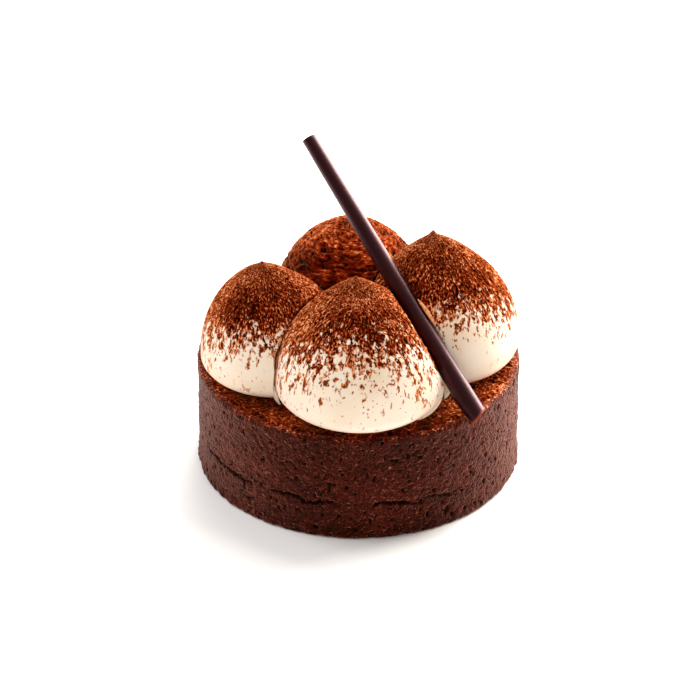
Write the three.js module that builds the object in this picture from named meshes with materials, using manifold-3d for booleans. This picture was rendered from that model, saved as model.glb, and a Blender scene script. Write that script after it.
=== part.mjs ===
// A chocolate tart: a round cocoa shortcrust case filled to its rim, four piped cream domes that
// press against each other on top, and a rolled chocolate stick laid across two of them.
// Millimetres, +Z up, origin at the centre of the flat base.
import * as THREE from "three";
import { ImprovedNoise } from "three/addons/math/ImprovedNoise.js";
import { mergeVertices } from "three/addons/utils/BufferGeometryUtils.js";
import Module from "manifold-3d";

// Driving dimensions

const touchGap = 0.3; // air left between pieces that touch

const crust = {
  radius: 40.8, // outer face of the wall
  height: 29,
  wall: 3.8,
  floor: 4,
  footSpread: 0.5, // the crumbly foot spreads this far past the wall
  footRound: 0.7, // height and depth of the rounded bottom edge
  rimFlare: 0.2, // the rim spreads this far past the wall
  rimRound: 0.8,
  draft: 0.6, // the hollow narrows by this much towards the floor
  lumps: 0.22, // unevenness of the wall
  columns: 88,
};

// The line where the base disc meets the wall strip; it wanders, and gapes along some stretches.
const seam = {
  height: 10,
  halfWidth: 0.55,
  shallow: 0.2,
  wander: 0.7,
  gashes: [
    { from: -155, to: -137, depth: 1.0 },
    { from: -131, to: -98, depth: 0.9 },
    { from: -87, to: -66, depth: 0.8 },
    { from: -62, to: -50, depth: 0.6 },
    { from: -10, to: 12, depth: 0.6 },
    { from: 48, to: 74, depth: 0.8 },
    { from: 118, to: 137, depth: 0.7 },
  ],
};

const filling = {
  sag: 0.5, // depth of the hollows in its top
  columns: 48,
};

// Each dome widens from its foot to widestAt, then closes in to a peak that leans sideways.
// fullness and shoulder set the curve: higher fullness is a fuller side, lower shoulder a blunter top.
const domes = [
  {
    name: "cream_dome_front",
    at: [0.4, -20.6],
    radius: 21.3,
    height: 34.7,
    widestAt: 5,
    undercut: 8,
    fullness: 2.37,
    shoulder: 1.12,
    lean: -1.0,
    nipple: 0.4,
  },
  {
    name: "cream_dome_left",
    at: [-21.2, -6.8],
    radius: 18.6,
    height: 29.8,
    widestAt: 4.7,
    undercut: 7,
    fullness: 2.1,
    shoulder: 0.76,
    lean: -2.2,
    nipple: 1.1,
  },
  {
    name: "cream_dome_right",
    at: [20.7, 0.5],
    radius: 20,
    height: 34.5,
    widestAt: 4.7,
    undercut: 8,
    fullness: 2.3,
    shoulder: 0.92,
    lean: -2.0,
    nipple: 0.8,
  },
  {
    name: "cream_dome_back",
    at: [-1.9, 16.2],
    radius: 19.3,
    height: 30.3,
    widestAt: 4.7,
    undercut: 8,
    fullness: 2.4,
    shoulder: 0.69,
    lean: 0,
    nipple: 0.2,
  },
];

const domeGrid = { columns: 44, rows: 18, nippleRadius: 1.2 };

const stick = {
  lowEnd: [29, -31.3, 30.45], // over the crust's rim
  highEnd: [-12.6, 16.2, 82.5],
  lowRadius: 2.45,
  highRadius: 1.95,
  overlap: 0.35, // thickness of the sheet's edge, which shows as a step along the roll
  overlapAngle: 80, // where that edge lies round the stick, in degrees
  edgeRound: 0.3,
  sides: 26,
  steps: 5,
};

const colours = {
  crust: 0x54302c,
  cocoa: 0x8a4a28,
  cream: 0xf3e3c8,
  darkChocolate: 0x2d1214,
};

// Surface helpers

const noise = new ImprovedNoise();
const toRadians = THREE.MathUtils.degToRad;
const smoothstep = THREE.MathUtils.smoothstep;
const crustTop = crust.height;

// Moves every vertex by a function of its own position, so vertices that coincide stay together.
function reshape(geometry, move) {
  const positions = geometry.getAttribute("position");
  const point = new THREE.Vector3();
  for (let i = 0; i < positions.count; i++) {
    point.fromBufferAttribute(positions, i);
    move(point);
    positions.setXYZ(i, point.x, point.y, point.z);
  }
  return geometry;
}

// A lathe about Z of a profile given from the bottom of the axis, round the outside, to its top.
function turned(profile, columns) {
  const points = profile.map(([radius, height]) => new THREE.Vector2(radius, height));
  const geometry = new THREE.LatheGeometry(points, columns);
  return geometry.rotateX(Math.PI / 2);
}

// Slides a point radially, leaving points on the axis where they are.
function slideOut(point, distance) {
  const radius = Math.hypot(point.x, point.y);
  if (radius < 1e-6) return;
  point.x *= (radius + distance) / radius;
  point.y *= (radius + distance) / radius;
}

// Cuts with manifold-3d

const wasm = await Module();
wasm.setup();

function toSolid(geometry) {
  const bare = geometry.clone();
  bare.deleteAttribute("normal");
  bare.deleteAttribute("uv");
  const merged = mergeVertices(bare, 1e-4);
  const mesh = new wasm.Mesh({
    numProp: 3,
    vertProperties: merged.getAttribute("position").array,
    triVerts: new Uint32Array(merged.index.array),
  });
  return new wasm.Manifold(mesh);
}

function toGeometry(solid) {
  const mesh = solid.getMesh();
  const geometry = new THREE.BufferGeometry();
  geometry.setAttribute("position", new THREE.BufferAttribute(mesh.vertProperties, 3));
  geometry.setIndex(new THREE.BufferAttribute(mesh.triVerts, 1));
  geometry.computeVertexNormals();
  return geometry;
}

function cutAway(geometry, tools) {
  const cut = tools.reduce((solid, tool) => solid.subtract(toSolid(tool)), toSolid(geometry));
  return toGeometry(cut);
}

// Crust and filling

// How deep the seam is at an angle round the wall.
function seamDepth(degrees) {
  const fade = 5;
  const gape = seam.gashes.map(({ from, to, depth }) => {
    const opening = smoothstep(degrees, from - fade, from + fade);
    return depth * opening * (1 - smoothstep(degrees, to - fade, to + fade));
  });
  return seam.shallow + Math.max(...gape);
}

function seamWander(angle) {
  return seam.wander * (0.6 * Math.sin(3 * angle + 0.7) + 0.4 * Math.sin(8 * angle));
}

// Lumps all over the wall, a crumbly foot, and the seam pressed in along its wandering line.
function roughenCrust(point) {
  const radius = Math.hypot(point.x, point.y);
  const outside = smoothstep(radius, crust.radius - crust.wall + 0.5, crust.radius - 1);
  if (outside === 0) return;
  const angle = Math.atan2(point.y, point.x);
  const height = point.z;
  const swell = noise.noise(point.x / 7 + 3, point.y / 7, height / 6);
  const grain = noise.noise(point.x / 2.6, point.y / 2.6 + 9, height / 3);
  const fromSeam = Math.abs(height - seam.height) / seam.halfWidth;
  const press = seamDepth(THREE.MathUtils.radToDeg(angle)) * Math.max(0, 1 - fromSeam);
  slideOut(point, outside * (crust.lumps * (swell + grain) - press));
  const nearSeam = 1 - smoothstep(Math.abs(height - seam.height), 1, 6);
  point.z += nearSeam * seamWander(angle);
}

function crustGeometry() {
  const { radius, height, footSpread, footRound, rimFlare, rimRound } = crust;
  const mouth = radius - crust.wall;
  const foot = radius + footSpread;
  const nearSeam = [-2.4, -1, 0, 1, 2.4].map((step) => [radius, seam.height + step * seam.halfWidth]);
  const profile = [
    [0, 0],
    [foot - footRound, 0],
    [foot - footRound / 4, footRound / 4],
    [foot, footRound],
    [foot - footSpread / 2, 3],
    [radius, 5.5],
    ...nearSeam,
    [radius, 14],
    [radius, 18],
    [radius, 22],
    [radius + rimFlare / 2, 25.5],
    [radius + rimFlare, height - rimRound],
    [radius - 0.1, height - 0.15],
    [radius - 1.1, height],
    [mouth + 0.5, height],
    [mouth, height - 0.6],
    [mouth - crust.draft, crust.floor],
    [0, crust.floor],
  ];
  return reshape(turned(profile, crust.columns), roughenCrust);
}

// The filling stands in the case, flush with its rim, with shallow hollows in its top.
function fillingGeometry() {
  const mouth = crust.radius - crust.wall - touchGap;
  const foot = mouth - crust.draft - 0.1;
  const profile = [
    [0, crust.floor + touchGap],
    [foot, crust.floor + touchGap],
    [mouth - 0.1, crustTop - 0.8],
    [mouth - 0.6, crustTop],
    [mouth - 3.5, crustTop],
    [mouth - 8, crustTop],
    [0, crustTop],
  ];
  return reshape(turned(profile, filling.columns), (point) => {
    if (point.z < crustTop - 0.1) return;
    const hollow = 0.5 + 0.5 * noise.noise(point.x / 4, point.y / 4, 5);
    point.z -= filling.sag * hollow;
  });
}

// Cream domes

// The outline of a dome as [radius, height above its foot], from the foot to the peak. grow moves the
// outline outwards, and depth carries it on below the foot.
function domeProfile(dome, grow, depth) {
  const { radius, height, widestAt, undercut, fullness, shoulder } = dome;
  const footRatio = Math.sqrt(1 - (widestAt / undercut) ** 2);
  const profile = [[0, -depth]];
  if (depth > 0) profile.push([radius * footRatio + grow, -depth]);
  const rowsBelow = 4;
  for (let row = 0; row < rowsBelow; row++) {
    const at = (widestAt * row) / rowsBelow;
    const ratio = Math.sqrt(1 - ((widestAt - at) / undercut) ** 2);
    profile.push([radius * ratio + grow, at]);
  }
  const rowsAbove = domeGrid.rows - rowsBelow;
  for (let row = 0; row < rowsAbove; row++) {
    const turn = (Math.PI / 2) * (row / rowsAbove);
    const rise = Math.sin(turn) ** (2 / fullness);
    const ring = radius * (1 - rise ** fullness) ** shoulder + grow;
    const peak = dome.nipple * Math.exp(-((ring / domeGrid.nippleRadius) ** 2));
    profile.push([ring, widestAt + (height - widestAt + grow) * rise + peak]);
  }
  profile.push([0, height + grow + dome.nipple]);
  return profile;
}

function domeGeometry(dome, grow = 0, depth = 0) {
  const geometry = turned(domeProfile(dome, grow, depth), domeGrid.columns);
  const foot = crustTop + touchGap;
  reshape(geometry, (point) => {
    const rise = Math.max(0, (point.z - dome.widestAt) / (dome.height - dome.widestAt));
    point.x += dome.lean * Math.min(rise, 1) ** 2;
  });
  return geometry.translate(dome.at[0], dome.at[1], foot);
}

// Each dome keeps its round side towards the front and yields to the domes piped before it, and
// every dome yields to the stick.
function domeGeometries() {
  const piped = [];
  return domes.map((dome) => {
    const tools = [...piped, stickGeometry(touchGap)];
    piped.push(domeGeometry(dome, touchGap, 1));
    return cutAway(domeGeometry(dome), tools);
  });
}

// Chocolate stick

// The section of the roll: a circle that grows by the sheet's thickness in one turn.
function rollSection(radius) {
  const points = [];
  for (let side = 0; side < stick.sides; side++) {
    const turn = side / (stick.sides - 1);
    const angle = toRadians(stick.overlapAngle + 2) + toRadians(356) * turn;
    const reach = radius - stick.overlap * (1 - turn);
    points.push(new THREE.Vector2(reach * Math.cos(angle), reach * Math.sin(angle)));
  }
  return new THREE.Shape(points);
}

// The roll is thickest at its low end. grow makes the same shape larger all round, for cutting.
function stickGeometry(grow = 0) {
  const low = new THREE.Vector3(...stick.lowEnd);
  const high = new THREE.Vector3(...stick.highEnd);
  const length = low.distanceTo(high);
  const radius = stick.lowRadius + grow;
  const bevelThickness = stick.edgeRound;
  const geometry = new THREE.ExtrudeGeometry(rollSection(radius), {
    depth: length - 2 * bevelThickness,
    steps: stick.steps,
    bevelThickness,
    bevelSize: stick.edgeRound,
    bevelOffset: -stick.edgeRound,
    bevelSegments: 2,
  });
  const thinning = (stick.lowRadius - stick.highRadius) / radius;
  reshape(geometry, (point) => {
    const scale = 1 - thinning * (point.z / length);
    point.x *= scale;
    point.y *= scale;
  });
  const direction = high.clone().sub(low).normalize();
  const turn = new THREE.Quaternion().setFromUnitVectors(new THREE.Vector3(0, 0, 1), direction);
  return geometry.translate(0, 0, bevelThickness).applyQuaternion(turn).translate(...low);
}

// Assembly

function piece(name, geometry, color, roughness) {
  const material = new THREE.MeshStandardMaterial({ color, roughness, metalness: 0 });
  const mesh = new THREE.Mesh(geometry, material);
  mesh.name = name;
  return mesh;
}

const group = new THREE.Group();
group.add(piece("crust", crustGeometry(), colours.crust, 0.85));
group.add(piece("filling", fillingGeometry(), colours.cocoa, 0.95));
domeGeometries().forEach((geometry, index) => {
  group.add(piece(domes[index].name, geometry, colours.cream, 0.6));
});
group.add(piece("chocolate_stick", stickGeometry(), colours.darkChocolate, 0.35));

export default group;
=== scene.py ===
# Chocolate tart: a cocoa shortcrust case, a dusted filling, four piped cream domes and a rolled
# chocolate stick. Shapes are worked out in millimetres and turned to metres when a mesh is made.
import math

import bpy
import numpy as np
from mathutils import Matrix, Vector, noise


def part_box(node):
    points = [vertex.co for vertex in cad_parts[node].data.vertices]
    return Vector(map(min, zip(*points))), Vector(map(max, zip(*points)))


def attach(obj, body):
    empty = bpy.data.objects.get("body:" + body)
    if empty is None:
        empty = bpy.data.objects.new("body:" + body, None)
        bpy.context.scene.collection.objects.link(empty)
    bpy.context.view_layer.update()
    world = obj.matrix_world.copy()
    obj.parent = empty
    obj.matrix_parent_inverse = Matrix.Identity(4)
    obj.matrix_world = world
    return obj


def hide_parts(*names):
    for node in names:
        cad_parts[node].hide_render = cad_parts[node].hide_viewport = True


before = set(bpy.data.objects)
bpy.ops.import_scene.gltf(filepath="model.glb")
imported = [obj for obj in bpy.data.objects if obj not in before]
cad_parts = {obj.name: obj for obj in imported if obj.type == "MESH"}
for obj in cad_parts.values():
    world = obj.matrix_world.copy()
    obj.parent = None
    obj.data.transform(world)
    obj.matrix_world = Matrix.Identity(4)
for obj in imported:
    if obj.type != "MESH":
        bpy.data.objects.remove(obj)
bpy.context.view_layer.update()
mm = 0.001
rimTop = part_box("crust")[1].z / mm  # the domes and the powder stand on this level


# Camera and light

camera = {
    "distance": 1000,  # mm from the middle of the base
    "elevation": 33,  # degrees above the table
    "focal": 198.9,  # mm
    "sensor": 36,  # mm
    "aim": (-2.15, 13.7, 21.7),  # mm, the middle of the picture
}
lights = {
    # name: place in mm, size in mm, watts, colour
    "backSoftbox": ((230, 450, 640), 700, 12.6, "#fffaf4"),
    "rightSoftbox": ((510, 440, 210), 500, 12.0, "#fffaf4"),
    "leftSoftbox": ((-560, 150, 430), 460, 3.4, "#ffffff"),
    "topSoftbox": ((-40, -60, 800), 420, 0.7, "#ffffff"),
    "fillSoftbox": ((60, -720, 110), 520, 2.0, "#ffeedd"),
}
studio = {
    "world": 0.29,
    "worldColour": "#fffaf5",
    "floor": [(0.0, "#fbfbfb"), (1.0, "#fafafa")],
    "tooth": 60,  # mm, drawn coarse, because real paper's wouldn't show
    "floorSize": 6000,  # mm
}


def linearOf(hexColour):
    channels = [int(hexColour[i:i + 2], 16) / 255 for i in (1, 3, 5)]
    return [c / 12.92 if c <= 0.04045 else ((c + 0.055) / 1.055) ** 2.4 for c in channels] + [1.0]


def addObject(name, data):
    obj = bpy.data.objects.new(name, data)
    bpy.context.scene.collection.objects.link(obj)
    return obj


def buildCamera():
    data = bpy.data.cameras.new("tartCamera")
    data.lens = camera["focal"]
    data.sensor_width = camera["sensor"]
    data.clip_end = 20 * camera["distance"] * mm
    obj = addObject("tartCamera", data)
    tilt = math.radians(camera["elevation"])
    away = Vector((0, -math.cos(tilt), math.sin(tilt)))
    obj.location = away * camera["distance"] * mm
    aim = Vector(camera["aim"]) * mm
    obj.rotation_euler = (aim - obj.location).to_track_quat("-Z", "Y").to_euler()
    bpy.context.scene.camera = obj


def buildLights():
    for name, (place, size, watts, colour) in lights.items():
        data = bpy.data.lights.new(name, "AREA")
        data.energy = watts
        data.size = size * mm
        data.color = linearOf(colour)[:3]
        obj = addObject(name, data)
        obj.location = Vector(place) * mm
        obj.rotation_euler = (-obj.location).to_track_quat("-Z", "Y").to_euler()
    world = bpy.data.worlds.new("studio")
    world.use_nodes = True
    background = world.node_tree.nodes["Background"]
    background.inputs["Color"].default_value = linearOf(studio["worldColour"])
    background.inputs["Strength"].default_value = studio["world"]
    bpy.context.scene.world = world
    bpy.context.scene.view_settings.view_transform = "Standard"


buildCamera()
buildLights()
print("camera and lights are set")


# Material nodes


def addNode(tree, kind, inputs=None, stops=(), **settings):
    # inputs go by name, or by number where a node has several of one name; stops are a ramp's
    node = tree.nodes.new(kind)
    for name, value in settings.items():
        setattr(node, name, value)
    for name, value in (inputs or {}).items():
        if isinstance(value, bpy.types.NodeSocket):
            tree.links.new(value, node.inputs[name])
        else:
            node.inputs[name].default_value = value
    for number, (place, colour) in enumerate(stops):
        elements = node.color_ramp.elements
        element = elements[number] if number < len(elements) else elements.new(place)
        element.position = place
        element.color = linearOf(colour)
    return node


def newMaterial(name):
    material = bpy.data.materials.new(name)
    material.use_nodes = True
    tree = material.node_tree
    tree.nodes.clear()
    return material, tree, addNode(tree, "ShaderNodeTexCoord").outputs["Object"]


# Cocoa powder, alkalised and sieved: its ridges are drawn orange as painted highlight, its hollows near
# black as painted shade.
# Real grains of about 0.05 mm wouldn't show, so they are drawn ten times coarser.
cocoa = {
    "colours": [
        (0.0, "#120000"),
        (0.25, "#3c0300"),
        (0.5, "#6b1702"),
        (0.75, "#a84616"),
        (1.0, "#eba472"),
    ],
    "clod": 7.0,  # mm
    "clodTone": 0.95,
    "relief": 0.5,  # mm
    "roughness": 0.95,
    "ior": 1.04,  # dry powder hardly reflects, it scatters light back at a low angle
    "sheen": 0.75,
    "sheenRoughness": 0.36,
}
powders = {
    # grain in mm, how far the grains differ in tone, how pale they are on the whole
    "fallen": {"grain": 0.42, "contrast": 3.6, "tone": 0.035, "shine": "#ff8844"},
    "sunkIn": {"grain": 0.6, "contrast": 1.7, "tone": -0.03, "shine": "#ffac70"},
    "sieved": {"grain": 0.6, "contrast": 2.9, "tone": -0.21, "shine": "#ff8844"},
}


def cocoaLook(tree, coords, look):
    # "ridge" holds the crests and hollows of a piece, "slide" places in mm on its unrolled surface
    # the tone read from "ridge" is painted light and shade: paler on crests, darker in hollows
    ridge = addNode(tree, "ShaderNodeAttribute", attribute_name="ridge").outputs["Fac"]
    slide = addNode(tree, "ShaderNodeAttribute", attribute_name="slide").outputs["Vector"]
    fine = addNode(tree, "ShaderNodeTexNoise", {
        "Vector": slide, "Scale": 1 / look["grain"], "Detail": 2.6, "Roughness": 0.6,
        "Distortion": 0.2})
    clods = addNode(tree, "ShaderNodeTexNoise", {
        "Vector": coords, "Scale": 1 / (cocoa["clod"] * mm), "Detail": 2.0})
    grains = addNode(tree, "ShaderNodeMath", {
        0: fine.outputs["Fac"], 1: look["contrast"], 2: look["tone"] - look["contrast"] / 2},
        operation="MULTIPLY_ADD")
    lift = addNode(tree, "ShaderNodeMath", {
        0: clods.outputs["Fac"], 1: cocoa["clodTone"], 2: -cocoa["clodTone"] / 2},
        operation="MULTIPLY_ADD")
    total = addNode(tree, "ShaderNodeMath", {0: grains.outputs[0], 1: ridge}, operation="ADD")
    total = addNode(tree, "ShaderNodeMath", {0: total.outputs[0], 1: lift.outputs[0]},
                    operation="ADD")
    colour = addNode(tree, "ShaderNodeValToRGB", {"Fac": total.outputs[0]}, cocoa["colours"])
    return colour.outputs["Color"], fine.outputs["Fac"]


def cocoaFinish(look):
    return {"IOR": cocoa["ior"], "Sheen Weight": cocoa["sheen"],
            "Sheen Roughness": cocoa["sheenRoughness"], "Sheen Tint": linearOf(look["shine"])}


# Whipped mascarpone cream, piped: satin, a little see-through, warm ivory. Where powder fell on it
# the same surface turns to matte cocoa, in clumps that thin out down the side.
cream = {
    "colour": "#e7dbca",
    "shade": "#e2d0ba",
    "shadeSize": 12,  # mm
    "thin": "#b4622c",  # cream that shows through a thin scatter of powder
    "roughness": 0.5,
    "scatter": 0.5,
    "foldScatter": 0.05,
    "scatterDepth": 2.0,  # mm
    "scatterRadius": (1.0, 0.7, 0.4),
    "clump": 1.55,  # mm
    "clumpEdge": 0.75,  # mm
    "speckSpacing": 1.15,  # mm
}


def cocoaCover(tree, coords, dust):
    # dust is how much powder fell at a point, from none at 0 to a closed layer at 1
    # clumps about 1 mm wide that trail downhill, with a finer grain on their edges
    drawn = addNode(tree, "ShaderNodeVectorMath", {0: coords, 1: (1.0, 1.0, 0.5)},
                    operation="MULTIPLY")
    trails = addNode(tree, "ShaderNodeTexNoise", {
        "Vector": drawn.outputs[0], "Scale": 1 / (cream["clump"] * mm), "Detail": 2.0,
        "Roughness": 0.5})
    grain = addNode(tree, "ShaderNodeTexNoise", {
        "Vector": drawn.outputs[0], "Scale": 1 / (cream["clumpEdge"] * mm), "Detail": 3.0,
        "Roughness": 0.6})
    blend = addNode(tree, "ShaderNodeMix", {
        "Factor": 0.5, 2: trails.outputs["Fac"], 3: grain.outputs["Fac"]}, data_type="FLOAT")
    level = addNode(tree, "ShaderNodeMapRange", {
        "Value": blend.outputs[0], "From Min": 0.37, "From Max": 0.63, "To Min": 0.02,
        "To Max": 1.05})
    over = addNode(tree, "ShaderNodeMath", {0: dust, 1: level.outputs[0]}, operation="SUBTRACT")
    covered = addNode(tree, "ShaderNodeMapRange", {
        "Value": over.outputs[0], "From Min": -0.15, "From Max": 0.09})
    # lone specks 0.2 to 0.6 mm across, fewer lower down
    cells = addNode(tree, "ShaderNodeTexVoronoi", {
        "Vector": coords, "Scale": 1 / (cream["speckSpacing"] * mm)})
    tone = addNode(tree, "ShaderNodeSeparateColor", {"Color": cells.outputs["Color"]})
    few = addNode(tree, "ShaderNodeMath", {0: dust, 1: 2.5, 2: 0.04}, operation="MULTIPLY_ADD")
    chance = addNode(tree, "ShaderNodeMath", {0: few.outputs[0], 1: tone.outputs[0]},
                     operation="GREATER_THAN")
    size = addNode(tree, "ShaderNodeMath", {0: tone.outputs[1], 1: 0.16, 2: 0.1},
                   operation="MULTIPLY_ADD")
    inside = addNode(tree, "ShaderNodeMath", {0: cells.outputs["Distance"], 1: size.outputs[0]},
                     operation="LESS_THAN")
    specks = addNode(tree, "ShaderNodeMath", {0: chance.outputs[0], 1: inside.outputs[0]},
                     operation="MULTIPLY")
    specks = addNode(tree, "ShaderNodeMath", {0: specks.outputs[0], 1: 0.75}, operation="MULTIPLY")
    cover = addNode(tree, "ShaderNodeMath", {0: covered.outputs[0], 1: specks.outputs[0]},
                    operation="MAXIMUM")
    return cover.outputs[0]


def whippedCreamDusted(name, look, scatter):
    material, tree, coords = newMaterial(name)
    dust = addNode(tree, "ShaderNodeAttribute", attribute_name="dust").outputs["Fac"]
    powderColour, grit = cocoaLook(tree, coords, look)
    cover = cocoaCover(tree, coords, dust)
    bland = addNode(tree, "ShaderNodeTexNoise", {
        "Vector": coords, "Scale": 1 / (cream["shadeSize"] * mm)})
    ivory = addNode(tree, "ShaderNodeValToRGB", {"Fac": bland.outputs["Fac"]},
                    [(0.35, cream["shade"]), (0.6, cream["colour"])])
    # where the powder is thin the cream shows through it and turns tan
    pale = addNode(tree, "ShaderNodeMapRange", {
        "Value": dust, "From Min": 0.05, "From Max": 0.55, "To Min": 0.55, "To Max": 0.0})
    powderColour = addNode(tree, "ShaderNodeMix", {
        "Factor": pale.outputs[0], 6: powderColour, 7: linearOf(cream["thin"])}, data_type="RGBA")
    thin = addNode(tree, "ShaderNodeMix", {
        "Factor": cover, 6: ivory.outputs["Color"], 7: linearOf(cream["thin"])}, data_type="RGBA")
    thick = addNode(tree, "ShaderNodeMapRange", {
        "Value": cover, "From Min": 0.45, "From Max": 1.0})
    colour = addNode(tree, "ShaderNodeMix", {
        "Factor": thick.outputs[0], 6: thin.outputs[2], 7: powderColour.outputs[2]},
        data_type="RGBA")
    rough = addNode(tree, "ShaderNodeMapRange", {
        "Value": cover, "To Min": cream["roughness"], "To Max": cocoa["roughness"]})
    inside = addNode(tree, "ShaderNodeMapRange", {
        "Value": cover, "To Min": scatter, "To Max": 0.0})
    grit = addNode(tree, "ShaderNodeMath", {0: grit, 1: 0.5}, operation="SUBTRACT")
    height = addNode(tree, "ShaderNodeMath", {0: cover, 1: grit.outputs[0]}, operation="MULTIPLY")
    bump = addNode(tree, "ShaderNodeBump", {
        "Height": height.outputs[0], "Strength": 1.0, "Distance": cocoa["relief"] * mm})
    principled = addNode(tree, "ShaderNodeBsdfPrincipled", {
        "Base Color": colour.outputs[2], "Roughness": rough.outputs[0],
        "Normal": bump.outputs[0], "Subsurface Weight": inside.outputs[0],
        "Subsurface Radius": cream["scatterRadius"],
        "Subsurface Scale": cream["scatterDepth"] * mm, **cocoaFinish(look)})
    addNode(tree, "ShaderNodeOutputMaterial", {"Surface": principled.outputs["BSDF"]})
    return material


# The same powder sieved thickly over the filling: matte and velvety, with nothing showing through.
def sievedCocoa(look):
    material, tree, coords = newMaterial("sievedCocoa")
    powderColour, grit = cocoaLook(tree, coords, look)
    bump = addNode(tree, "ShaderNodeBump", {
        "Height": grit, "Strength": 1.0, "Distance": cocoa["relief"] * mm})
    principled = addNode(tree, "ShaderNodeBsdfPrincipled", {
        "Base Color": powderColour, "Roughness": cocoa["roughness"], "Normal": bump.outputs[0],
        **cocoaFinish(look)})
    addNode(tree, "ShaderNodeOutputMaterial", {"Surface": principled.outputs["BSDF"]})
    return material


# Cocoa shortcrust, pressed and baked: dry and matte with a faint fat bloom and reddish flecks; painted
# shade darkens its pores.
shortcrust = {
    "colours": [
        (0.12, "#120200"),
        (0.34, "#300a03"),
        (0.52, "#431208"),
        (0.72, "#5c2012"),
        (0.95, "#9a5840"),
    ],
    "crumb": 0.55,  # mm
    "crumbTone": (1.8, -0.49),  # contrast, and what is added
    "patch": 11,  # mm
    "patchTone": (0.4, -0.2),
    "poreSpacing": 2.0,  # mm
    # painted shade: the near-black colour drawn in the pores
    "pore": "#100201",
    "flourGrain": "#8a5444",
    "relief": 0.8,  # mm
    "roughness": 0.42,
    "ior": 1.2,
    "shine": "#ffac8c",
    "bloom": 0.6,
    "bloomRoughness": 0.18,
    "bloomTint": "#ffa488",
}


def bakedShortcrust():
    material, tree, coords = newMaterial("bakedShortcrust")
    # painted light and shade: the first attribute darkens cracks, holes, hollows and the crumbled foot
    # and lightens lumps; "dust" marks the powdered rim
    paintedReliefShade = addNode(tree, "ShaderNodeAttribute", attribute_name="paintedReliefShade").outputs["Fac"]
    rim = addNode(tree, "ShaderNodeAttribute", attribute_name="dust").outputs["Fac"]
    powderColour = cocoaLook(tree, coords, powders["sieved"])[0]
    crumb = addNode(tree, "ShaderNodeTexNoise", {
        "Vector": coords, "Scale": 1 / (shortcrust["crumb"] * mm), "Detail": 2.0,
        "Roughness": 0.6})
    patch = addNode(tree, "ShaderNodeTexNoise", {
        "Vector": coords, "Scale": 1 / (shortcrust["patch"] * mm), "Detail": 2.0})
    tone = addNode(tree, "ShaderNodeMath", {
        0: crumb.outputs["Fac"], 1: shortcrust["crumbTone"][0], 2: shortcrust["crumbTone"][1]},
        operation="MULTIPLY_ADD")
    drift = addNode(tree, "ShaderNodeMath", {
        0: patch.outputs["Fac"], 1: shortcrust["patchTone"][0], 2: shortcrust["patchTone"][1]},
        operation="MULTIPLY_ADD")
    tone = addNode(tree, "ShaderNodeMath", {0: tone.outputs[0], 1: drift.outputs[0]},
                   operation="ADD")
    tone = addNode(tree, "ShaderNodeMath", {0: tone.outputs[0], 1: paintedReliefShade}, operation="ADD")
    baked = addNode(tree, "ShaderNodeValToRGB", {"Fac": tone.outputs[0]}, shortcrust["colours"])
    # pores 0.2 to 0.9 mm across, drawn near black as painted shade, and one in ten is a pale grain of
    # sugar or flour
    cells = addNode(tree, "ShaderNodeTexVoronoi", {
        "Vector": coords, "Scale": 1 / (shortcrust["poreSpacing"] * mm)})
    kind = addNode(tree, "ShaderNodeSeparateColor", {"Color": cells.outputs["Color"]})
    size = addNode(tree, "ShaderNodeMath", {0: kind.outputs[0], 1: 0.17, 2: 0.06},
                   operation="MULTIPLY_ADD")
    outside = addNode(tree, "ShaderNodeMath", {0: cells.outputs["Distance"], 1: size.outputs[0]},
                      operation="SUBTRACT")
    spot = addNode(tree, "ShaderNodeMapRange", {
        "Value": outside.outputs[0], "From Min": -0.04, "From Max": 0.03, "To Min": 0.9,
        "To Max": 0.0})
    spotColour = addNode(tree, "ShaderNodeValToRGB", {"Fac": kind.outputs[1]},
                         [(0.88, shortcrust["pore"]), (0.9, shortcrust["flourGrain"])])
    spotted = addNode(tree, "ShaderNodeMix", {
        "Factor": spot.outputs[0], 6: baked.outputs["Color"], 7: spotColour.outputs["Color"]},
        data_type="RGBA")
    colour = addNode(tree, "ShaderNodeMix", {
        "Factor": rim, 6: spotted.outputs[2], 7: powderColour}, data_type="RGBA")
    sunk = addNode(tree, "ShaderNodeMath", {0: spot.outputs[0], 1: -0.8, 2: crumb.outputs["Fac"]},
                   operation="MULTIPLY_ADD")
    bump = addNode(tree, "ShaderNodeBump", {
        "Height": sunk.outputs[0], "Strength": 1.0, "Distance": shortcrust["relief"] * mm})
    principled = addNode(tree, "ShaderNodeBsdfPrincipled", {
        "Base Color": colour.outputs[2], "Roughness": shortcrust["roughness"],
        "Normal": bump.outputs[0], "IOR": shortcrust["ior"],
        "Specular Tint": linearOf(shortcrust["shine"]), "Sheen Weight": shortcrust["bloom"],
        "Sheen Roughness": shortcrust["bloomRoughness"],
        "Sheen Tint": linearOf(shortcrust["bloomTint"])})
    addNode(tree, "ShaderNodeOutputMaterial", {"Surface": principled.outputs["BSDF"]})
    return material


# Matt studio paper: even and white, with a faint tooth.
def paperWhite():
    material, tree, coords = newMaterial("paperWhite")
    tooth = addNode(tree, "ShaderNodeTexNoise", {
        "Vector": coords, "Scale": 1 / (studio["tooth"] * mm)})
    colour = addNode(tree, "ShaderNodeValToRGB", {"Fac": tooth.outputs["Fac"]}, studio["floor"])
    principled = addNode(tree, "ShaderNodeBsdfPrincipled", {
        "Base Color": colour.outputs["Color"], "Roughness": 1.0, "Specular IOR Level": 0.0})
    addNode(tree, "ShaderNodeOutputMaterial", {"Surface": principled.outputs["BSDF"]})
    return material


# Mesh helpers


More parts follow.
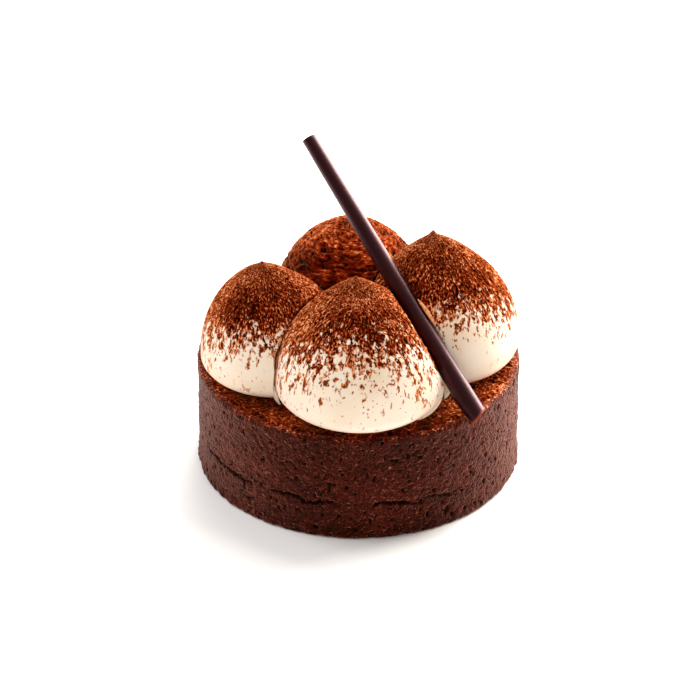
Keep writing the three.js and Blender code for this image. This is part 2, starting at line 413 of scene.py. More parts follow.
def skinMesh(name, rings, lowPole, highPole):
    rows, columns = rings.shape[:2]
    points = np.vstack([[lowPole], rings.reshape(-1, 3), [highPole]])
    index = 1 + np.arange(rows * columns).reshape(rows, columns)
    after = np.roll(index, -1, axis=1)
    quads = np.stack([index[:-1], after[:-1], after[1:], index[1:]], axis=-1).reshape(-1, 4)
    low = [(0, b, a) for a, b in zip(index[0], after[0])]
    high = [(a, b, len(points) - 1) for a, b in zip(index[-1], after[-1])]
    mesh = bpy.data.meshes.new(name)
    mesh.from_pydata((points * mm).tolist(), [], quads.tolist() + low + high)
    mesh.update()
    mesh.shade_smooth()
    return addObject(name, mesh)


def giveAttribute(obj, name, values):
    flat = np.concatenate([[values[0].mean()], values.ravel(), [values[-1].mean()]])
    layer = obj.data.attributes.new(name, "FLOAT", "POINT")
    layer.data.foreach_set("value", flat.astype(np.float32))


def giveSlide(obj, points):
    # where each point lies on an unrolled surface, so that a texture can run downhill
    flat = np.vstack([points[0].mean(axis=0), points.reshape(-1, 3), points[-1].mean(axis=0)])
    layer = obj.data.attributes.new("slide", "FLOAT_VECTOR", "POINT")
    layer.data.foreach_set("vector", flat.ravel().astype(np.float32))


def unrolled(angle, along, radius, stretch):
    # a cylinder of one radius: the angle keeps its place, and lengths along it shrink by stretch
    along = np.broadcast_to(along / stretch, angle.shape)
    return np.stack([radius * np.cos(angle), radius * np.sin(angle), along], axis=-1)


def outwardNormals(rings):
    around = np.roll(rings, -1, axis=1) - np.roll(rings, 1, axis=1)
    up = np.gradient(rings, axis=0)
    normals = np.cross(around, up)
    return normals / np.maximum(np.linalg.norm(normals, axis=-1, keepdims=True), 1e-9)


def perlinOn(points, cell, shift=0.0):
    # smooth noise from -1 to 1; cell is its wavelength in mm, one number or one for each axis
    scaled = points.reshape(-1, 3) / np.array(cell) + shift
    values = [noise.noise(Vector(p)) for p in scaled]
    return np.array(values).reshape(points.shape[:-1])


def ridgesOn(points, cell, shift=0.0):
    # sharp crests with round hollows between them, from about -1 to 1
    broad = 1 - 2 * np.abs(perlinOn(points, cell, shift)) / 0.55
    fine = 1 - 2 * np.abs(perlinOn(points, np.array(cell) * 0.5, shift + 40)) / 0.55
    return np.clip(0.65 * broad + 0.35 * fine, -1, 1)


def ramp(values, low, high):
    t = np.clip((values - low) / (high - low), 0, 1)
    return t * t * (3 - 2 * t)


def softMin(a, b, blend):
    share = np.clip(0.5 + 0.5 * (b - a) / blend, 0, 1)
    return b * (1 - share) + a * share - blend * share * (1 - share)


def evenly(points, count):
    # walks along a polyline and returns count points, all the same distance apart
    points = np.array(points, float)
    steps = np.linalg.norm(np.diff(points, axis=0), axis=1)
    along = np.concatenate([[0], np.cumsum(steps)])
    at = np.linspace(0, along[-1], count)
    return np.stack([np.interp(at, along, points[:, k]) for k in (0, 1)], axis=1)


def turnProfile(profile, columns):
    # a profile of radius and height, turned round the tart's middle
    angle = np.linspace(-math.pi, math.pi, columns, endpoint=False)
    turns = np.repeat(angle[None], len(profile), axis=0)
    reach = np.repeat(profile[:, 0:1], columns, axis=1)
    height = np.repeat(profile[:, 1:2], columns, axis=1)
    return turns, reach, height, np.stack(
        [reach * np.cos(turns), reach * np.sin(turns), height], axis=-1)


# Chocolate stick

stick = {
    "lowEnd": (29, -31.3, 30.45),
    "highEnd": (-12.6, 16.2, 82.5),
    "lowRadius": 2.82,
    "highRadius": 2.02,
    "overlap": 0.35,
    "overlapAngle": 80,
    "edgeRound": 0.15,
    "side": (0.858, 0.28, 0.431),  # points from the stick's left flank to its right flank
    "front": (0, -0.839, 0.545),  # points at the side that faces the front
    "cutUnder": 0.9,  # the low end is cut back this far underneath, mm
    "snap": 1.15,  # the low end snapped off this much longer on its left
    "chip": 0.6,  # and thinned here by this much
    "breakLength": 4.5,  # mm of the low end that the break reaches
    "uneven": 0.06,
    "unevenSize": 6.0,
    "endPowder": "#8e3d1c",  # the snapped end has picked up cocoa
    "colours": [(0.3, "#0f0101"), (0.7, "#170101")],
    "haze": 5,  # mm
    "dents": 0.8,  # mm
    "roughness": 0.38,
    "ior": 1.57,
    "shine": "#e2949e",
    "sheen": 0.04,
    "sheenTint": "#d08088",
    "columns": 72,
    "rows": 150,
}


# Dark couverture rolled into a pencil while soft: smooth and semi-gloss, with faint scraper marks.
def darkCouverture():
    material, tree, coords = newMaterial("darkCouverture")
    haze = addNode(tree, "ShaderNodeTexNoise", {
        "Vector": coords, "Scale": 1 / (stick["haze"] * mm), "Detail": 4.0, "Roughness": 0.6})
    dust = addNode(tree, "ShaderNodeAttribute", attribute_name="dust").outputs["Fac"]
    bare = addNode(tree, "ShaderNodeValToRGB", {"Fac": haze.outputs["Fac"]}, stick["colours"])
    colour = addNode(tree, "ShaderNodeMix", {
        "Factor": dust, 6: bare.outputs["Color"], 7: linearOf(stick["endPowder"])},
        data_type="RGBA")
    rough = addNode(tree, "ShaderNodeMapRange", {
        "Value": dust, "To Min": stick["roughness"], "To Max": 0.8})
    fine = addNode(tree, "ShaderNodeTexNoise", {
        "Vector": coords, "Scale": 1 / (stick["dents"] * mm), "Detail": 2.0})
    bump = addNode(tree, "ShaderNodeBump", {
        "Height": fine.outputs["Fac"], "Strength": 0.25, "Distance": 0.1 * mm})
    principled = addNode(tree, "ShaderNodeBsdfPrincipled", {
        "Base Color": colour.outputs[2], "Roughness": rough.outputs[0],
        "Normal": bump.outputs[0], "IOR": stick["ior"],
        "Specular Tint": linearOf(stick["shine"]), "Sheen Weight": stick["sheen"],
        "Sheen Roughness": 0.3, "Sheen Tint": linearOf(stick["sheenTint"])})
    addNode(tree, "ShaderNodeOutputMaterial", {"Surface": principled.outputs["BSDF"]})
    return material


def stickAxis():
    low, high = np.array(stick["lowEnd"]), np.array(stick["highEnd"])
    length = np.linalg.norm(high - low)
    return low, (high - low) / length, length


def buildStick():
    low, direction, length = stickAxis()
    turn = Vector((0, 0, 1)).rotation_difference(Vector(direction)).to_matrix()
    frameX, frameY = np.array(turn @ Vector((1, 0, 0))), np.array(turn @ Vector((0, 1, 0)))
    share = np.linspace(0, 1, stick["columns"], endpoint=False)
    angle = math.radians(stick["overlapAngle"]) + share * math.tau
    # the roll grows by the sheet's thickness in one turn, and steps back down at its edge
    step = stick["overlap"] * (1 - share) * ramp(share, 0.0, 0.02)
    edge = stick["edgeRound"]
    ends = np.array([[0, -edge * 1.6], [0, -edge], [edge * 0.3, -edge * 0.3], [edge, 0]])
    body = np.linspace(edge, length - edge, stick["rows"])
    along = np.concatenate([ends[:, 0], body[1:-1], (length - ends[:, 0])[::-1]])
    inset = np.concatenate([ends[:, 1], np.zeros(len(body) - 2), ends[::-1, 1]])
    radius = stick["lowRadius"] + (stick["highRadius"] - stick["lowRadius"]) * along / length
    reach = (radius + inset)[:, None] - step[None, :]
    offset = np.cos(angle)[:, None] * frameX + np.sin(angle)[:, None] * frameY
    left = -offset @ (np.array(stick["side"]) / np.linalg.norm(stick["side"]))
    nearLow = 1 - ramp(along, 0, stick["breakLength"])
    reach = reach - stick["chip"] * nearLow[:, None] * ramp(left, 0.2, 1.0)
    slip = stick["snap"] * nearLow[:, None] * ramp(left, -0.9, 0.75)
    slip += stick["cutUnder"] * nearLow[:, None] * (offset @ np.array(stick["front"]))
    rings = low + (along[:, None] - slip)[..., None] * direction + reach[..., None] * offset
    rings += stick["uneven"] * perlinOn(rings, stick["unevenSize"])[..., None] * offset
    low = low - direction * stick["snap"] * 0.4
    obj = skinMesh("rolledStick", rings, low, stickAxis()[0] + direction * length)
    giveAttribute(obj, "dust", np.repeat((1 - ramp(along, 0.1, 0.4))[:, None], len(share), axis=1))
    obj.data.materials.append(darkCouverture())
    return obj


# Cream domes

powdered = {"wrinkled": False, "ridge": 0.5, "shade": 0.08, "pits": 0.2}
domes = [
    # lengths in mm; powder thickens from dustFrom up to dustFull, and reaches further down on the
    # dustySide, which is a direction in degrees and the mm that it gains there
    {
        "name": "creamFront", "node": "cream_dome_front", "at": (0.4, -20.6), "radius": 21.3,
        "height": 34.7, "widestAt": 5, "undercut": 8, "fullness": 2.37, "shoulder": 1.12,
        "lean": -1.0, "nipple": 0.4, "columns": 520, "rows": 185,
        "dustFrom": -3.2, "dustFull": 23.0, "dustySide": (190, 2.0), **powdered,
        "creases": [([(-14, 18), (-19, 11), (-25, 3)], 0.5, -0.35),
                    ([(-10, 16), (-15, 9), (-20, 3)], 0.6, 0.3)],
        "flat": {"room": -0.4, "opens": (10, 18), "blend": 1.2},
    },
    {
        "name": "creamLeft", "node": "cream_dome_left", "at": (-21.2, -6.8), "radius": 18.6,
        "height": 29.8, "widestAt": 4.7, "undercut": 7, "fullness": 2.1, "shoulder": 0.76,
        "lean": -2.8, "nipple": 1.4, "columns": 450, "rows": 150,
        "dustFrom": -2.0, "dustFull": 16.3, "dustySide": (10, 2.0), **powdered,
    },
    {
        "name": "creamRight", "node": "cream_dome_right", "at": (20.7, 0.5), "radius": 20,
        "height": 34.5, "widestAt": 4.7, "undercut": 8, "fullness": 2.3, "shoulder": 0.92,
        "lean": -2.0, "nipple": 1.5, "columns": 490, "rows": 175,
        "dustFrom": 2.2, "dustFull": 19.0, "dustySide": (195, 6.0), **powdered,
    },
    {
        "name": "creamBack", "node": "cream_dome_back", "at": (-1.9, 16.2), "radius": 19.3,
        "height": 29.6, "widestAt": 4.7, "undercut": 8, "fullness": 2.4, "shoulder": 0.69,
        "lean": 0.0, "nipple": 0.2, "columns": 420, "rows": 155,
        "dustFrom": -12.0, "dustFull": -4.0, "dustySide": (-90, 0.0),
        # the last key darkens the powder towards the foot, as painted shade
        "wrinkled": True, "ridge": 0.75, "shade": 0.15, "pits": 0.45, "paintedFootShade": 0.25,
    },
]
piping = {
    "foot": rimTop + 0.05,  # the domes stand in the powder
    "touch": -0.1,  # pressed together at the foot
    "part": 1.0,  # mm apart further up
    "parts": (8, 14),
    "stickTouch": 0.12,
    "blend": 0.8,  # how round the pressed edges are
    "swell": 0.3,
    "swellSize": 11.0,
    "nippleRadius": 1.2,
}
dusting = {
    "sieveTilt": 0.45,
    "uneven": 1.6,  # mm
    "unevenSize": 7.0,  # mm
    "thinning": 1.25,
    "swirl": 1.2,  # mm
    "swirlSize": 5.0,  # mm
    "wrinkle": 1.5,  # mm from crest to crest
    "wrinkleRadius": 4.5,  # below the dome's own radius, so that wrinkles run round it
    "grain": 1.0,  # mm from crest to crest
    "grainRadius": 14,
    "grainStretch": 2.6,  # grains are this much longer down the side
    "pitSize": 2.0,
    # painted shade: how much darker the powder facing the front is drawn
    "paintedShade": 0.29,
    "shadeLessAtTip": 0.55,  # the share of the painted shade that is gone at the tip
    "shadeFadeHeights": (24, 31),  # mm above the foot
    # heights over which the painted shade at the back dome's foot fades
    "footShadeFadeHeights": (15, 27),
}


def domeOutline(dome):
    below = np.linspace(0, dome["widestAt"], 30)
    lowRadius = dome["radius"] * np.sqrt(1 - ((dome["widestAt"] - below) / dome["undercut"]) ** 2)
    turn = np.linspace(0, math.pi / 2, 300)[1:]
    rise = np.sin(turn) ** (2 / dome["fullness"])
    highRadius = dome["radius"] * np.maximum(1 - rise ** dome["fullness"], 0) ** dome["shoulder"]
    high = dome["widestAt"] + (dome["height"] - dome["widestAt"]) * rise
    high += dome["nipple"] * np.exp(-(highRadius / piping["nippleRadius"]) ** 2)
    return np.stack([np.concatenate([lowRadius, highRadius]), np.concatenate([below, high])], axis=1)


def leanAt(dome, height):
    rise = np.clip((height - dome["widestAt"]) / (dome["height"] - dome["widestAt"]), 0, 1)
    return dome["lean"] * rise ** 2


def distanceToDome(centre, heading, height, dome):
    # how far a level ray runs before it meets the round side of another dome
    outline = domeOutline(dome)
    radius = np.interp(height, outline[:, 1], outline[:, 0], right=0.0)[:, None]
    radius = radius + (piping["touch"] + piping["part"] * ramp(height, *piping["parts"]))[:, None]
    otherX = dome["at"][0] + leanAt(dome, height)[:, None]
    toX, toY = otherX - centre[:, 0:1], dome["at"][1] - centre[:, 1:2]
    along = toX * heading[0] + toY * heading[1]
    across = np.abs(toX * heading[1] - toY * heading[0])
    graze = 0.99  # past this share of the radius the limit runs on straight
    near = along - np.sqrt(radius ** 2 - np.minimum(across, graze * radius) ** 2)
    past = np.maximum(0, across - graze * radius)
    near += graze / math.sqrt(1 - graze ** 2) * past + 15 * past ** 2
    return np.where((along > 0) & (radius > 1), near, 1e3)


def distanceToStick(centre, heading, height):
    # the same for the round, slanting stick
    low, direction, length = stickAxis()
    fromLow = np.column_stack([centre, height]) - low
    ray = np.stack([heading[0], heading[1], np.zeros_like(heading[0])], axis=-1)[0]
    meet = ray @ direction
    rayShare = fromLow @ ray.T
    axisShare = (fromLow @ direction)[:, None]
    spread = 1 - meet ** 2
    along = (meet * axisShare - rayShare) / spread
    down = (axisShare - meet * rayShare) / spread
    gap = fromLow[:, None] + along[..., None] * ray - down[..., None] * direction
    across = np.linalg.norm(gap, axis=-1)
    radius = stick["lowRadius"] + (stick["highRadius"] - stick["lowRadius"]) * down / length
    radius = radius + piping["stickTouch"]
    graze = 0.72
    depth = np.sqrt(radius ** 2 - np.minimum(across, graze * radius) ** 2)
    past = np.maximum(0, across - graze * radius)
    depth -= graze / math.sqrt(1 - graze ** 2) * past + 0.6 * past ** 2
    near = along - depth / np.sqrt(spread)
    return np.where((along > 0) & (down > -1) & (down < length + 1), near, 1e3)


def distanceToFlat(centre, heading, height, flat):
    # a flat side that runs up along the stick; it stands off the stick further up
    low = stickAxis()[0]
    normal = np.array(stick["side"]) / np.linalg.norm(stick["side"])
    room = stick["lowRadius"] + flat["room"] * ramp(height - piping["foot"], *flat["opens"])
    fromLow = np.column_stack([centre, height]) - low
    facing = heading[0] * normal[0] + heading[1] * normal[1]
    near = (-room - fromLow @ normal)[:, None] / np.maximum(facing, 1e-3)
    return np.where(facing > 0.05, near, 1e3)


def distanceToPath(points, path):
    path = np.array(path, float)
    nearest = np.full(points.shape[:-1], 1e3)
    for start, end in zip(path[:-1], path[1:]):
        span = end - start
        t = np.clip((points - start) @ span / (span @ span), 0, 1)
        nearest = np.minimum(nearest, np.linalg.norm(points - start - t[..., None] * span, axis=-1))
    return nearest


def domeForm(dome, piped):
    # rings of points from foot to tip, held back by the domes piped earlier and by the stick
    outline = evenly(domeOutline(dome), dome["rows"] + 1)[:-1]
    height = outline[:, 1]
    centre = np.stack([dome["at"][0] + leanAt(dome, height), np.full_like(height, dome["at"][1])],
                      axis=1)
    angle = np.linspace(0, math.tau, dome["columns"], endpoint=False)
    heading = (np.cos(angle)[None], np.sin(angle)[None])
    level = height + piping["foot"]
    reach = np.repeat(outline[:, 0:1], len(angle), axis=1)
    for other in piped:
        reach = softMin(reach, distanceToDome(centre, heading, height, other), piping["blend"])
    reach = softMin(reach, distanceToStick(centre, heading, level), piping["blend"])
    if "flat" in dome:
        flat = distanceToFlat(centre, heading, level, dome["flat"])
        reach = softMin(reach, flat, dome["flat"]["blend"])
    reach = np.maximum(reach, 0.02)
    rings = np.stack([
        centre[:, 0:1] + reach * heading[0],
        centre[:, 1:2] + reach * heading[1],
        np.repeat(level[:, None], len(angle), axis=1)], axis=-1)
    return outline, angle, reach, rings


def dustOn(dome, outline, angle, reach, rings, shift):
    height = outline[:, 1:2]
    drift = dusting["uneven"] * perlinOn(rings, dusting["unevenSize"], shift + 3)
    toward, further = math.radians(dome["dustySide"][0]), dome["dustySide"][1]
    drift = drift + further * ramp(np.cos(angle - toward), 0.1, 0.9)[None]
    # the sieve was held behind the tart, so the powder reaches further down there
    level = height + dusting["sieveTilt"] * reach * np.sin(angle)[None]
    dust = (level + drift - dome["dustFrom"]) / (dome["dustFull"] - dome["dustFrom"])
    dust = np.clip(dust, 0, 1.1) ** dusting["thinning"]
    # where the dome is pressed against something it is drawn fully powdered: powder in the crevice, and
    # painted shade there
    pressed = ramp(outline[:, 0:1] - reach, 0.3, 1.4) * ramp(height, 9, 12)
    return np.maximum(dust, 1.1 * pressed)


def creasesOn(dome, turns, height):
    lift = np.zeros_like(turns)
    for path, width, rise in dome.get("creases", []):
        along = (turns + math.pi) % math.tau - math.pi
        flat = np.stack([along * dome["radius"], np.broadcast_to(height, turns.shape)], axis=-1)
        line = np.array(path, float) * (math.radians(dome["radius"]), 1)
        lift += rise * np.exp(-(distanceToPath(flat, line) / width) ** 2)
    return lift


def buildDome(dome, piped, material):
    outline, angle, reach, rings = domeForm(dome, piped)
    shift = 7.0 * len(piped)
    height = outline[:, 1:2]
    dust = dustOn(dome, outline, angle, reach, rings, shift)
    arc = np.concatenate([[0], np.cumsum(np.linalg.norm(np.diff(outline, axis=0), axis=1))])
    turns = np.repeat(angle[None], len(height), axis=0)
    swirl = dusting["swirl"] * perlinOn(rings, dusting["swirlSize"], shift + 29)
    if dome["wrinkled"]:  # the powder sank with the cream into wavy rings
        slide = unrolled(turns, arc[:, None] + swirl, dusting["wrinkleRadius"], 1.0)
        ridge = ridgesOn(slide, dusting["wrinkle"], shift + 11)
        # painted shade, darker towards the foot
        paintedShade = dome["paintedFootShade"] * (1 - ramp(height, *dusting["footShadeFadeHeights"]))
    else:
        # grains drawn out down the side; the square root keeps them from crowding at the tip
        wide = dusting["grainRadius"]
        around = wide * np.sqrt(np.maximum(outline[:, 0:1], 0.3) / wide)
        slide = unrolled(turns, arc[:, None] + swirl, around, dusting["grainStretch"])
        ridge = ridgesOn(slide, dusting["grain"], shift + 11)
        # painted shade: where the powder is thick, the side facing the front is drawn darker, less so
        # near the tip
        facingFront = ramp(-np.sin(angle), 0.0, 1.0)[None]
        covered = ramp(dust, 0.65, 1.05) * (1 - dusting["shadeLessAtTip"] * ramp(height, *dusting["shadeFadeHeights"]))
        paintedShade = dusting["paintedShade"] * facingFront * covered
    pits = ramp(perlinOn(rings, dusting["pitSize"], shift + 23), 0.25, 0.6)
    lift = piping["swell"] * perlinOn(rings, piping["swellSize"], shift) * ramp(height, 2, 6)
    lift += ramp(dust, 0.35, 0.95) * (0.1 + 0.5 * dome["ridge"] * ridge - dome["pits"] * pits)
    lift += creasesOn(dome, turns, height)
    calm = ramp(reach, 0.3, 2.5)  # the very tip stays as piped
    rings = rings + (lift * calm)[..., None] * outwardNormals(rings)
    peak = np.array([dome["at"][0] + dome["lean"], dome["at"][1],
                     dome["height"] + dome["nipple"] + piping["foot"]])
    foot = np.array([dome["at"][0], dome["at"][1], piping["foot"]])
    obj = skinMesh(dome["name"], rings, foot, peak)
    giveAttribute(obj, "dust", dust)
    # painted highlight on the crests, painted shade in the hollows, the pits and on the front-facing
    # powder
    giveAttribute(obj, "ridge", 0.5 + dome["shade"] * ridge - 0.2 * pits - paintedShade)
    giveSlide(obj, slide)
    obj.data.materials.append(material)
    return obj


# Thin folds of cream that the nozzle pulled up, standing on their edges

folds = [
    # path along the fold with the fold's half width at each point, all in mm
    {
        "name": "creamFoldLeft", "halfWidth": (0.25, 0.8, 0.8, 0.3), "across": (0.7, -0.7, 0.0),
        "path": [(-21.1, -24.0, 34.7), (-20.9, -24.7, 32.8), (-20.2, -25.4, 31.1),
                 (-19.4, -25.9, 30.1)],
        "dust": 0.06, "ridge": 0.85,
    },
    {
        "name": "creamFoldFront", "halfWidth": (0.2, 0.6, 0.7, 0.2), "across": (0.45, -0.45, -0.75),
        "path": [(14.6, -33.4, 30.3), (17.8, -30.6, 31.0), (20.0, -26.8, 31.9), (21.0, -23.4, 33.5)],
        "dust": 0.0, "ridge": 0.85,
    },
    {
        "name": "creamFoldRight", "halfWidth": (0.4, 1.3, 0.3), "across": (0.8, -0.6, 0.1),
        "path": [(21.2, -19.8, 33.2), (22.1, -21.6, 31.7), (21.5, -23.1, 30.0)],
        "dust": 0.0, "ridge": 0.85,
    },
    {
        "name": "creamFoldDusted", "halfWidth": (0.3, 0.5, 0.35), "across": (0.83, 0.3, 0.46),
        "path": [(14.7, -12.7, 52.8), (17.1, -15.1, 50.5), (18.8, -16.7, 48.1)],
        # painted highlight: the dusted lip takes the palest powder tone
        "dust": 1.1, "ridge": 1.2,
    },
]
fold = {"thickness": 0.45, "uneven": 0.12, "unevenSize": 1.4, "rows": 40, "columns": 20}


def curveThrough(points, share):
    # one smooth curve through a few points
    key = np.linspace(0, 1, len(points))
    weights = np.array([
        [np.prod([(t - key[j]) / (key[i] - key[j]) for j in range(len(key)) if j != i])
         for i in range(len(key))]
        for t in share])
    return weights @ points


def buildFold(each, number, material):
    path, side = np.array(each["path"], float), np.array(each["across"], float)
    share = np.linspace(0, 1, fold["rows"])
    spine = curveThrough(path, share)
    width = np.interp(share, np.linspace(0, 1, len(path)), each["halfWidth"])
    width = width * np.sqrt(np.clip(share * (1 - share) * 8, 0.02, 1))
    tangent = np.gradient(spine, axis=0)
    tangent /= np.linalg.norm(tangent, axis=1, keepdims=True)
    across = side - tangent * (tangent @ side)[:, None]
    across /= np.linalg.norm(across, axis=1, keepdims=True)
    through = np.cross(tangent, across)
    turn = np.linspace(0, math.tau, fold["columns"], endpoint=False)
    rings = (spine[:, None] + width[:, None, None] * np.cos(turn)[None, :, None] * across[:, None]
             + fold["thickness"] / 2 * np.sin(turn)[None, :, None] * through[:, None])
    wavy = fold["uneven"] * perlinOn(rings, fold["unevenSize"], 5.0 * number)
    rings += wavy[..., None] * through[:, None]
    obj = skinMesh(each["name"], rings, spine[0], spine[-1])
    giveAttribute(obj, "dust", np.full(rings.shape[:2], each["dust"]))
    giveAttribute(obj, "ridge", np.full(rings.shape[:2], each["ridge"]))
    giveSlide(obj, rings)
    obj.data.materials.append(material)
    return obj


# Crust

crust = {
    "radius": 40.8,
    "wall": 3.8,
    "floor": 4,
    "footSpread": 0.35,
    "footRound": 0.7,
    "rimFlare": 0.2,
    "rimRound": 0.8,
    "draft": 0.6,
    "columns": 808,
    "wallRows": 98,
    "seamHeight": 10,
    "seamHalfWidth": 0.6,
    "rimGrain": 1.3,
}
crumbSize = {
    # mm from one to the next, one number or one for each axis
    "swell": 9.0,
    "lump": 3.0,
    "crease": (2.2, 2.2, 1.5),
    "grain": 1.0,
    "crumb": (1.5, 1.5, 1.1),
    "pore": 1.5,
    "hole": (1.2, 1.2, 1.8),
    "crumbledFoot": 1.9,
}
crumbRelief = {
    # how far each kind stands out of the wall, or cuts into it, in mm
    "swell": 0.06,
    "lump": 0.08,
    "crease": -0.1,
    "grain": 0.12,
    "crumb": 0.14,
    "pore": -0.25,
    "hole": -0.55,
    "seam": -0.1,
    "strip": 0.12,  # the wall strip stands a little proud over the base disc
    "crumbledFoot": 0.25,
}
# Cracks in the wall: turns in degrees and heights in mm along each, then width and depth in mm.
cracks = [
    ([(-161, 10.1), (-153.5, 10.2), (-146.5, 10.2), (-141, 9.9), (-135, 10), (-131, 9.6)], 0.6, 1.9),
    ([(-134.5, 10), (-134.3, 7)], 0.4, 0.9),
    ([(-122, 10.5), (-116, 10.7), (-111.3, 10.6), (-109, 9.3), (-103.8, 9.9), (-98.5, 10.4)], 0.5, 1.5),
    ([(-85, 10.5), (-77, 10), (-68.5, 8.8)], 0.45, 1.1),
    ([(-67, 9.8), (-64, 10.1), (-59, 9.3), (-52, 7.5)], 0.4, 0.8),
    ([(-135, 4.7), (-127.5, 6)], 0.35, 0.6),
    ([(-46.5, 12.9), (-45.4, 11.8)], 0.55, 0.9),
    ([(-75.5, 26.5), (-75.3, 24.6)], 0.35, 0.6),
    ([(8, 10.2), (16, 9.6), (23, 10.1), (30, 9.4)], 0.45, 0.9),
    ([(47, 10.1), (55, 10.6), (63, 9.7), (74, 10.2)], 0.5, 1.1),
    ([(63, 9.9), (64, 7.2)], 0.35, 0.7),
    ([(117, 9.6), (126, 10.3), (138, 9.9)], 0.45, 1.0),
    ([(166, 10.2), (175, 9.7)], 0.35, 0.7),
]


def crackDepth(angle, height, warp):
    # distance from each point of the unrolled wall to each crack, with ragged edges
    along = np.degrees(angle) * math.radians(crust["radius"]) + warp[0]
    up = height + warp[1]
    depth = np.zeros_like(along)
    for path, width, deepest in cracks:
        line = np.array(path, float)
        line[:, 0] *= math.radians(crust["radius"])
        whole = np.abs(line[-1] - line[0]).sum()
        for start, end in zip(line[:-1], line[1:]):
            span = end - start
            t = ((along - start[0]) * span[0] + (up - start[1]) * span[1]) / (span @ span)
            t = np.clip(t, 0, 1)
            gap = np.hypot(along - start[0] - t * span[0], up - start[1] - t * span[1])
            fromEnd = np.minimum(np.hypot(along - line[0, 0], up - line[0, 1]),
                                 np.hypot(along - line[-1, 0], up - line[-1, 1]))
            taper = 0.45 + 0.55 * ramp(fromEnd, 0, 0.3 * whole)
            opening = np.maximum(0, 1 - gap / (width * taper))
            depth = np.maximum(depth, deepest * taper * opening ** 0.6)
    return depth


def crustProfile():
    radius, top = crust["radius"], rimTop
    foot, mouth = radius + crust["footSpread"], radius - crust["wall"]
    bend, lipFoot = crust["footRound"], top - crust["rimRound"]
    underside = [(20, 0), (36, 0)]
    edge = evenly([(foot - bend, 0), (foot - bend / 4, bend / 4), (foot, bend)], 6)
    wall = evenly([
        (foot, bend), (foot - 0.25, 3), (radius, 5.5), (radius, 22),
        (radius + crust["rimFlare"] / 2, 25.5), (radius + crust["rimFlare"], lipFoot)],
        crust["wallRows"])
    lip = evenly([
        (radius + crust["rimFlare"], lipFoot), (radius - 0.1, top - 0.15), (radius - 1.1, top)], 7)
    rim = evenly([(radius - 1.1, top), (mouth + 0.5, top)], 8)
    inside = [(mouth, top - 0.6), (mouth - crust["draft"], crust["floor"]), (20, crust["floor"])]
    return np.vstack([underside, edge, wall[1:], lip[1:], rim[1:], inside])


def buildCrust():
    radius, top, size, relief = crust["radius"], rimTop, crumbSize, crumbRelief
    turns, reach, height, rings = turnProfile(crustProfile(), crust["columns"])
    outer = (reach > radius - crust["wall"] + 0.2) & (height > 0.05)
    holes = ramp(perlinOn(rings, size["hole"], 53), 0.44, 0.58)
    warp = (0.5 * perlinOn(rings, 1.6, 61), 0.45 * perlinOn(rings, 1.3, 67))
    split = crackDepth(turns, height, warp)
    seamLine = crust["seamHeight"] + 0.5 * np.sin(3 * turns + 0.7) + 0.3 * np.sin(8 * turns)
    crumbling = 1 - ramp(height, 0.4, 5.0)
    lift = relief["swell"] * perlinOn(rings, size["swell"], 3)
    lift += relief["lump"] * perlinOn(rings, size["lump"], 9)
    lift += relief["crease"] * ridgesOn(rings, size["crease"], 21)
    lift += relief["grain"] * perlinOn(rings, size["grain"], 31)
    lift += relief["crumb"] * perlinOn(rings, size["crumb"], 37)
    lift += relief["pore"] * ramp(perlinOn(rings, size["pore"], 47), 0.38, 0.62)
    lift += relief["hole"] * holes - split
    fromSeam = np.abs(height + warp[1] - seamLine) / crust["seamHalfWidth"]
    lift += relief["seam"] * np.maximum(0, 1 - fromSeam)
    lift += relief["crumbledFoot"] * crumbling * (perlinOn(rings, size["crumbledFoot"], 71) + 0.2)
    lift += relief["strip"] * ramp(height - seamLine, -0.2, 0.3) * (1 - ramp(height, 14, 22))
    flatTop = ramp(height, top - 0.5, top - 0.1)
    lift *= outer * (1 - 0.75 * flatTop)
    heading = np.stack([np.cos(turns), np.sin(turns), np.zeros_like(turns)], axis=-1)
    normals = np.where((height > 2)[..., None], outwardNormals(rings), heading)
    rings = rings + lift[..., None] * normals
    rings[..., 2] = np.maximum(rings[..., 2], 0)
    obj = skinMesh("bakedCrust", rings, np.zeros(3), np.array([0, 0, crust["floor"]]))
    # painted shade in the cracks, holes, hollows and at the crumbled foot, and painted highlight on the
    # lumps
    paintedReliefShade = np.clip(0.5 * lift - 0.4 * split - 0.2 * holes - 0.1 * crumbling, -0.7, 0.25)
    giveAttribute(obj, "paintedReliefShade", paintedReliefShade)
    edgeLine = top - 0.45 + 0.4 * perlinOn(rings, 2.2, 83) + 0.25 * perlinOn(rings, 0.8, 89)
    giveAttribute(obj, "dust", ramp(height - edgeLine, -0.1, 0.15))
    # the rim's powder: crests drawn paler as painted highlight, and paler on the right as painted light
    ridge = ridgesOn(rings, crust["rimGrain"], 91)
    giveAttribute(obj, "ridge", 0.5 + 0.3 * ridge + paintedLightOnRight(rings))
    giveSlide(obj, unrolled(turns, reach - height, radius, 1.0))
    obj.data.materials.append(bakedShortcrust())
    return obj


# Filling, under its layer of powder

filling = {
    "radius": 39.75,  # mm, the powder lies over the crust's rim
    "thickness": 0.24,
    "raggedEdge": ((0.35, 3.2), (0.3, 1.1)),  # mm deep, and mm from one notch to the next
    "drift": 0.12,
    "driftSize": 5.0,
    "ridge": 0.6,
    "grain": (1.2, 1.2, 1.1),  # mm from crest to crest
    "grainRadius": 27.0,
    "shade": 0.26,
    # painted light: how much paler the powder is drawn on the right
    "paintedLightRight": 0.13,
    # painted shade: how much darker the powder is drawn next to the cream's feet
    "paintedShade": 0.1,
    "columns": 700,
    "rows": 70,
    "from": 9.0,
}


def paintedLightOnRight(rings):
    # painted light: the powder is drawn paler towards the right, where the light falls
    return filling["paintedLightRight"] * ramp(rings[..., 0], 5, 35)


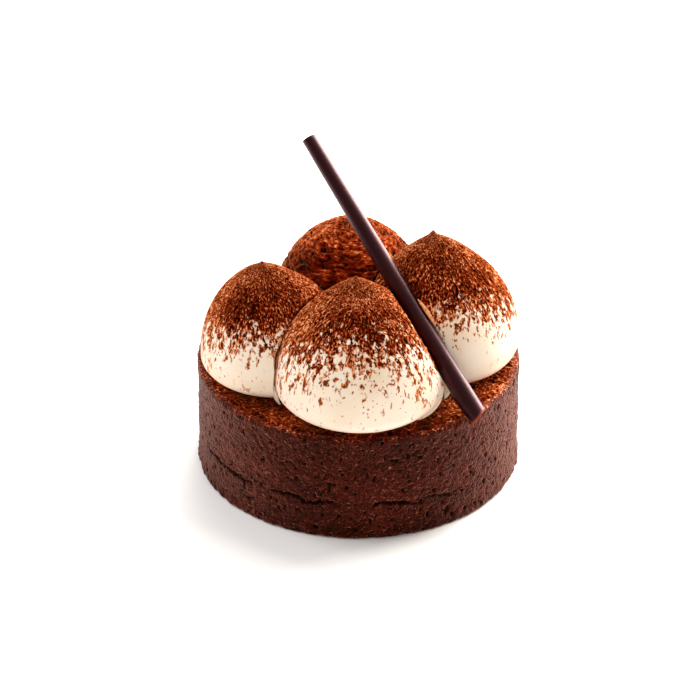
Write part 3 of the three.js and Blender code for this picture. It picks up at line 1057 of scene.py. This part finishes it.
def buildFilling(material):
    radius, floor = filling["radius"], crust["floor"] + 0.1
    mouth = crust["radius"] - crust["wall"]
    under = [(10, floor), (mouth - 0.1 - crust["draft"], floor), (mouth - 0.15, rimTop - 0.7),
             (mouth + 0.6, rimTop - 0.05), (radius - 0.3, rimTop - 0.05)]
    surface = [(r, rimTop + filling["thickness"]) for r in
               np.linspace(radius, filling["from"], filling["rows"])]
    profile = np.array(under + surface)
    turns, reach, height, rings = turnProfile(profile, filling["columns"])
    onTop = height > rimTop
    (deep, broad), (shallow, narrow) = filling["raggedEdge"]
    ragged = deep * perlinOn(rings, broad, 5) + shallow * perlinOn(rings, narrow, 15)
    ragged *= ramp(reach, radius - 3, radius) * onTop / np.maximum(reach, 1)
    rings[..., :2] *= (1 + ragged)[..., None]
    slide = unrolled(turns, reach, filling["grainRadius"], 1.0)
    ridge = ridgesOn(slide, filling["grain"], 25)
    fade = 1 - ramp(reach, radius - 1.2, radius)
    drifts = filling["drift"] * perlinOn(rings, filling["driftSize"], 35)
    rings[..., 2] += onTop * (fade * (drifts + 0.5 * filling["ridge"] * ridge)
                              - (1 - fade) * (filling["thickness"] + 0.1))
    obj = skinMesh("dustedFilling", rings, np.array([0, 0, floor]),
                   np.array([0, 0, rimTop + filling["thickness"]]))
    # painted light and shade: the powder is drawn paler towards the right and darker within 3 mm of the
    # cream's feet
    clear = np.min([np.hypot(rings[..., 0] - dome["at"][0], rings[..., 1] - dome["at"][1])
                    - dome["radius"] for dome in domes], axis=0)
    tone = paintedLightOnRight(rings) - filling["paintedShade"] * (1 - ramp(clear, 0, 3))
    giveAttribute(obj, "ridge", 0.5 + filling["shade"] * ridge + tone)
    giveSlide(obj, slide)
    obj.data.materials.append(material)
    return obj


# Build

stickPiece = buildStick()
print("stick is rolled")

creamMaterial = whippedCreamDusted("whippedCreamDusted", powders["fallen"], cream["scatter"])
wrinkledMaterial = whippedCreamDusted("whippedCreamCocoaCrusted", powders["sunkIn"],
                                      cream["scatter"])
domePieces = []
for number, dome in enumerate(domes):
    material = wrinkledMaterial if dome["wrinkled"] else creamMaterial
    domePieces.append(buildDome(dome, domes[:number], material))
print("domes are piped and dusted")

foldMaterial = whippedCreamDusted("whippedCreamFold", powders["fallen"], cream["foldScatter"])
foldPieces = [buildFold(each, number, foldMaterial) for number, each in enumerate(folds)]
print("folds are set")

crustPiece = buildCrust()
print("crust is baked")

fillingPiece = buildFilling(sievedCocoa(powders["sieved"]))
print("filling is dusted")


def hold(piece, node):
    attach(piece, "root")
    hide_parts(node)


hold(stickPiece, "chocolate_stick")
hold(crustPiece, "crust")
hold(fillingPiece, "filling")
for dome, piece in zip(domes, domePieces):
    hold(piece, dome["node"])
for piece in foldPieces:
    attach(piece, "root")


def buildFloor():
    half = studio["floorSize"] / 2 * mm
    mesh = bpy.data.meshes.new("studioFloor")
    mesh.from_pydata([(-half, -half, 0), (half, -half, 0), (half, half, 0), (-half, half, 0)], [],
                     [(0, 1, 2, 3)])
    obj = addObject("studioFloor", mesh)
    obj.location.z = -0.02 * mm
    mesh.materials.append(paperWhite())


buildFloor()
print("floor is laid")
